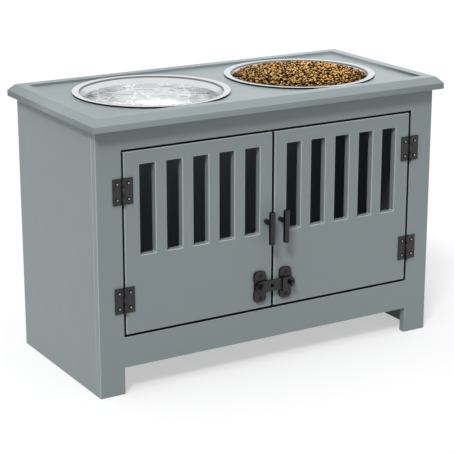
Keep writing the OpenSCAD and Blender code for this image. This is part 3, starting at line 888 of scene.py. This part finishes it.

# %% [markdown]
# Roasted food has a golden crust, and no two pieces match. A Voronoi pattern with cells of about a piece's
# size gives each piece its own tone. Shade is painted in as well: the colour darkens along the wall, where
# the heap lies in the bowl's shade, and the flanks of each piece are painted darker than its top.

# %% Kibble finish
crust, crust_tree, crust_shader = finish(
    "roasted_crust", tint(232, 178, 100), tint(236, 196, 130), (0.35, 0.55), drift=0.6,
    drift_scale=60.0, grain=900.0, depth=0.25, specular=0.12)
cells = put(crust_tree, "ShaderNodeTexVoronoi")
cells.inputs["Scale"].default_value = 300.0
crust_tree.links.new(put(crust_tree, "ShaderNodeTexCoord").outputs["Object"], cells.inputs["Vector"])
roast_shades = ramp_to_white(crust_tree, cells.outputs["Color"], tint(60, 38, 20), 0.36, 0.60)
roast = mix(crust_tree, 1.0, base_color(crust_shader), roast_shades, "MULTIPLY")
upward = put(crust_tree, "ShaderNodeSeparateXYZ")
crust_tree.links.new(put(crust_tree, "ShaderNodeNewGeometry").outputs["Normal"], upward.inputs[0])
# Faces that turn away from straight up are painted darker, as shade on the flanks.
flank_shade = remap(crust_tree, upward.outputs["Z"], -0.1, 0.75, 0.10, 1.0, smooth=True)
shaded = mix(crust_tree, 1.0, roast, flank_shade, "MULTIPLY")
from_middle = distance_from(crust_tree, bowl_centres["right"])
# Painted shade: the colour darkens towards the bowl's wall.
wall_shade_mask = remap(crust_tree, from_middle, heap_radius * 0.72 * mm, heap_radius * mm, 0.0, 0.6, smooth=True)
wall_shaded_color = mix(crust_tree, wall_shade_mask, shaded, tint(74, 52, 26))
crust_tree.links.new(wall_shaded_color, crust_shader.inputs["Base Color"])
make_piece("dry_kibble", kibble, "bowl_right", crust, even=False)

# %% [markdown]
# Under the loose pieces lies a bed standing for the deeper food, a smooth dome spun like the bowl. It keeps
# steel from showing in the gaps, and its colour is painted nearly black as shade, since hardly any light
# gets down there.

# %% Kibble bed
bed_points = [(0, -depth + 0.3), (wall_foot - 0.3, -depth + 0.3), (heap_radius - 0.6, heap_edge - 4)]
for share in (0.9, 0.75, 0.6, 0.45, 0.3, 0.15, 0):
    bed_points.append((heap_radius * share, heap_height(heap_radius * share) - 5.6))
bed, corners = outline(bed_points)
round_corner(bed, corners[1], 12.6, 6)
turn_round(bed, bowl_centres["right"], 64)
bed_shade_finish = finish(
    "food_bed_painted_shade", tint(26, 15, 7), tint(60, 40, 20), (0.75, 0.9), drift=0.4, drift_scale=300.0,
    grain=600.0, depth=1.2, specular=0.1)[0]
make_piece("kibble_bed", bed, "bowl_right", bed_shade_finish, even=False)

# %% [markdown]
# ## Hinges
# A butt hinge is two leaves cut from sheet steel, with their knuckles rolled round one pin. The packed
# leaves have the true knuckles and gaps, so they are copied, with their outer edges softened by the
# coating.

# %% Hinge leaves and pins
for side in ("left", "right"):
    for level in ("upper", "lower"):
        spot = side + "_" + level
        for kind, body in (("frame", "cabinet"), ("door", "door_" + side)):
            node = "hinge_leaf_" + kind + "_" + spot
            leaf = copy_of(node)
            ease(leaf, 0.35, shortest=1.2, rub=0.2)
            leaf_piece = make_piece("coated_" + node, leaf, body, black_coat, (node,), "black_hardware")
            # The cut edges of the leaf are painted black, as shade.
            second_finish(leaf_piece, screw_black_and_edge_shade, upright)
        node = "hinge_pin_" + spot
        make_piece("hinge_rod_" + spot, copy_of(node), "cabinet", black_coat, (node,), "black_hardware")

# %% [markdown]
# A raised screw head is a low dome with a cross pressed into it. The dome is spun, planes cut the outline
# of the cross into its faces, and the faces inside it are extruded downwards. A cross takes a finish of its
# own, because the driver rubs the blacking off inside it; on the hinge screws that bright bare zinc is also
# a painted highlight on the dark head.

# %% Screw maker


def cross_screw(head_radius, head_height, shank_radius, shank_length):
    """A screw along +Z: its head stands on the plane z = 0 and its shank goes below it."""
    shape, corners = outline([(0, -shank_length), (shank_radius * 0.3, -shank_length),
                              (shank_radius, -shank_length + 1.5), (shank_radius, 0), (head_radius, 0),
                              (head_radius, head_height * 0.3), (head_radius * 0.6, head_height * 0.92),
                              (0, head_height)])
    round_corner(shape, corners[6], head_radius * 0.4, 3)
    round_corner(shape, corners[5], head_radius * 0.12, 2)
    turn_round(shape, Vector((0, 0, 0)), 20)
    arm = head_radius * 0.17 * mm
    tip = head_radius * 0.52 * mm
    dome_foot = head_height * 0.36 * mm
    top_faces = [face for face in shape.faces if face.calc_center_median().z > dome_foot]
    for normal in (Vector((1, 0, 0)), Vector((0, 1, 0))):
        for offset in (-tip, -arm, arm, tip):
            around = {edge for face in top_faces for edge in face.edges}
            corners_near = {vert for face in top_faces for vert in face.verts}
            bmesh.ops.bisect_plane(shape, geom=[*corners_near, *around, *top_faces], dist=1e-7,
                                   plane_co=normal * offset, plane_no=normal)
            top_faces = [face for face in shape.faces if face.calc_center_median().z > dome_foot]
    sunk = []
    for face in top_faces:
        spot = face.calc_center_median()
        across, along = sorted((abs(spot.x), abs(spot.y)))
        if across < arm and along < tip:
            sunk.append(face)
    pressed = bmesh.ops.extrude_face_region(shape, geom=sunk)
    bmesh.ops.delete(shape, geom=sunk, context="FACES")
    floor_verts = [item for item in pressed["geom"] if isinstance(item, bmesh.types.BMVert)]
    bmesh.ops.translate(shape, verts=floor_verts, vec=(0, 0, -head_height * 0.45 * mm))
    for face in {face for vert in floor_verts for face in vert.link_faces}:
        face.material_index = 1
    return shape


def screw_set(name, body, spots, nodes, material, slot, sizes, cross_finish):
    """One piece that holds a screw at each spot (point, direction of the head, turn in degrees)."""
    pattern = bake("screw_pattern", cross_screw(*sizes))
    together = bmesh.new()
    for point, facing, twist in spots:
        before = len(together.verts)
        together.from_mesh(pattern)
        together.verts.ensure_lookup_table()
        aim = Vector(facing).to_track_quat("Z", "Y").to_matrix().to_4x4()
        turned = Matrix.Translation(point) @ aim @ Matrix.Rotation(math.radians(twist), 4, "Z")
        bmesh.ops.transform(together, verts=together.verts[before:], matrix=turned)
    bpy.data.meshes.remove(pattern)
    piece = make_piece(name, together, body, material, nodes, slot)
    piece.data.materials.append(cross_finish)
    return piece


# %% [markdown]
# Every hinge leaf has two of these screws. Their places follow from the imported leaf: nine millimetres from
# the pin, and half the pitch above and below the middle of the leaf. A screw's four sizes are the radius
# and height of its head and the radius and length of its shank, in millimetres.

# %% Hinge screws
hinge_screw = (3.1, 1.1, 1.5, 7.5)
leaf_thick = 1.5 * mm
screw_reach = 9 * mm
half_pitch = 11.5 * mm
hinge_rows = {}
forward = (0, -1, 0)
for side, sign in (("left", -1), ("right", 1)):
    for kind, body, outward in (("frame", "cabinet", 1), ("door", "door_" + side, -1)):
        for level in ("upper", "lower"):
            low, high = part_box("hinge_leaf_" + kind + "_" + side + "_" + level)
            pin_low, pin_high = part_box("hinge_pin_" + side + "_" + level)
            pin_x = (pin_low.x + pin_high.x) / 2
            for half in (-1, 1):
                point = Vector((pin_x + sign * outward * screw_reach, frame_low.y - leaf_thick,
                                (low.z + high.z) / 2 + half * half_pitch))
                hinge_rows.setdefault(body, []).append((point, forward, chance.uniform(0, 90)))
for body, spots in hinge_rows.items():
    node = "hinge_screws_" + ("frame" if body == "cabinet" else body)
    # The zinc crosses of these screws also stand as painted highlights.
    screw_set("raised_" + node, body, spots, (node,), screw_black_and_edge_shade, "black_hardware", hinge_screw, zinc)

# %% [markdown]
# ## Handles
# Each handle is a short round bar on a single post, with chamfered ends. The front of the bar has the
# grey-black coat, and its sides are painted darker as shade, in the same black as its post.

# %% Handles
handle_screw = (4.0, 2.0, 2.0, 18.0)
for side in ("left", "right"):
    bar = copy_of("handle_bar_" + side)
    ease(bar, 0.3, shortest=0.05, sharpest=30)
    bar_piece = make_piece("grip_bar_" + side, bar, "door_" + side, black_coat, ("handle_bar_" + side,),
                           "black_hardware")
    # The sides of the bar are painted darker, as shade.
    second_finish(bar_piece, screw_black_and_edge_shade, lambda face: face.normal.y > -0.55)
    node = "handle_post_" + side
    make_piece("grip_post_" + side, copy_of(node), "door_" + side, screw_black_and_edge_shade, (node,), "black_hardware")
    low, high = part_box("handle_screw_" + side)
    point = Vector(((low.x + high.x) / 2, high.y - 2 * mm, (low.z + high.z) / 2))
    screw_set("machine_screw_" + side, "door_" + side, [(point, (0, 1, 0), 30)],
              ("handle_screw_" + side,), zinc, "zinc_fastener", handle_screw, zinc)

# %% [markdown]
# ## Latch
# A flip latch: a plate with a swinging arm on the left door, and a plate with a hook on the right door. The
# arm drops behind the hook, and a knob at its end lifts it out. Real plates have squarer ends, so the
# packed ends are pushed out to rounded squares. A round boss, spun like the screws, caps the pivot pin.

# %% Latch
latch_height = 126
end_radius = 10.5
end_rise = 14.0
plate_front = -133
corner_power = 3.2
plate_middles = {"latch_plate": -24, "latch_keeper": 21}
latch_screw = (3.0, 1.1, 1.5, 6.0)
screw_seat = -131.25
screw_rise = 17.5
boss_radius = 4.2
boss_height = 5.0


def square_ends(shape, middle):
    """Pushes the round ends of a latch plate out to rounded squares of the same width."""
    for vert in shape.verts:
        rise = vert.co.z / mm - latch_height
        across = (vert.co.x / mm - middle) / end_radius
        along = (rise - math.copysign(end_rise, rise)) / end_radius
        reach = math.hypot(across, along)
        if 0.97 < reach < 1.03 and vert.co.y > plate_front * mm:
            squared = abs(across / reach) ** corner_power + abs(along / reach) ** corner_power
            push = squared ** (-1 / corner_power)
            vert.co.x = (middle + across * push * end_radius) * mm
            vert.co.z += along * (push - 1) * end_radius * mm


for node, body in (("latch_plate", "door_left"), ("latch_keeper", "door_right"), ("latch_arm", "latch_arm"),
                   ("latch_pivot_pin", "door_left"), ("latch_knob", "latch_arm")):
    part = copy_of(node)
    if node in plate_middles:
        square_ends(part, plate_middles[node])
    ease(part, 0.4, shortest=0.35, sharpest=50, rub=0.2)
    if node == "latch_pivot_pin":
        low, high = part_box(node)
        boss, corners = outline([(0, 0), (boss_radius, 0), (boss_radius, boss_height), (0, boss_height)])
        round_corner(boss, corners[2], 0.9, 3)
        turn_round(boss, Vector((0, 0, 0)), 32)
        spot = Vector(((low.x + high.x) / 2, low.y + 0.5 * mm, (low.z + high.z) / 2))
        bmesh.ops.transform(boss, verts=boss.verts,
                            matrix=Matrix.Translation(spot) @ Matrix.Rotation(math.pi / 2, 4, "X"))
        boss_mesh = bake("pivot_boss", boss)
        part.from_mesh(boss_mesh)
        bpy.data.meshes.remove(boss_mesh)
    latch_piece = make_piece("coated_" + node, part, body, black_coat, (node,), "black_hardware")
    # The cut edges of the latch parts are painted black, as shade.
    second_finish(latch_piece, screw_black_and_edge_shade, upright)
for side, plate in (("left", "latch_plate"), ("right", "latch_keeper")):
    spots = []
    for half in (-1, 1):
        spot = at(plate_middles[plate], screw_seat, latch_height + half * screw_rise)
        spots.append((spot, forward, 20 + 30 * half))
    screw_set("sunk_latch_screws_" + side, "door_" + side, spots, ("latch_screws_" + side,), black_coat,
              "black_hardware", latch_screw, screw_black_and_edge_shade)

# %% [markdown]
# ## Hidden fasteners
# Dowels, cam locks and long screws are seen only with a door open or from below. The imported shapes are
# right, so those nodes stay and only take a finish.

# %% Hidden fasteners
for node, material in (("frame_dowels", wood), ("cam_locks", zinc), ("cam_bolts", zinc),
                       ("top_screws", zinc)):
    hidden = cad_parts[node]
    hidden.data.materials.clear()
    hidden.data.materials.append(material)

# %% [markdown]
# ## Last look
# View settings stay plain.

# %% View settings
scene.view_settings.view_transform = "Standard"
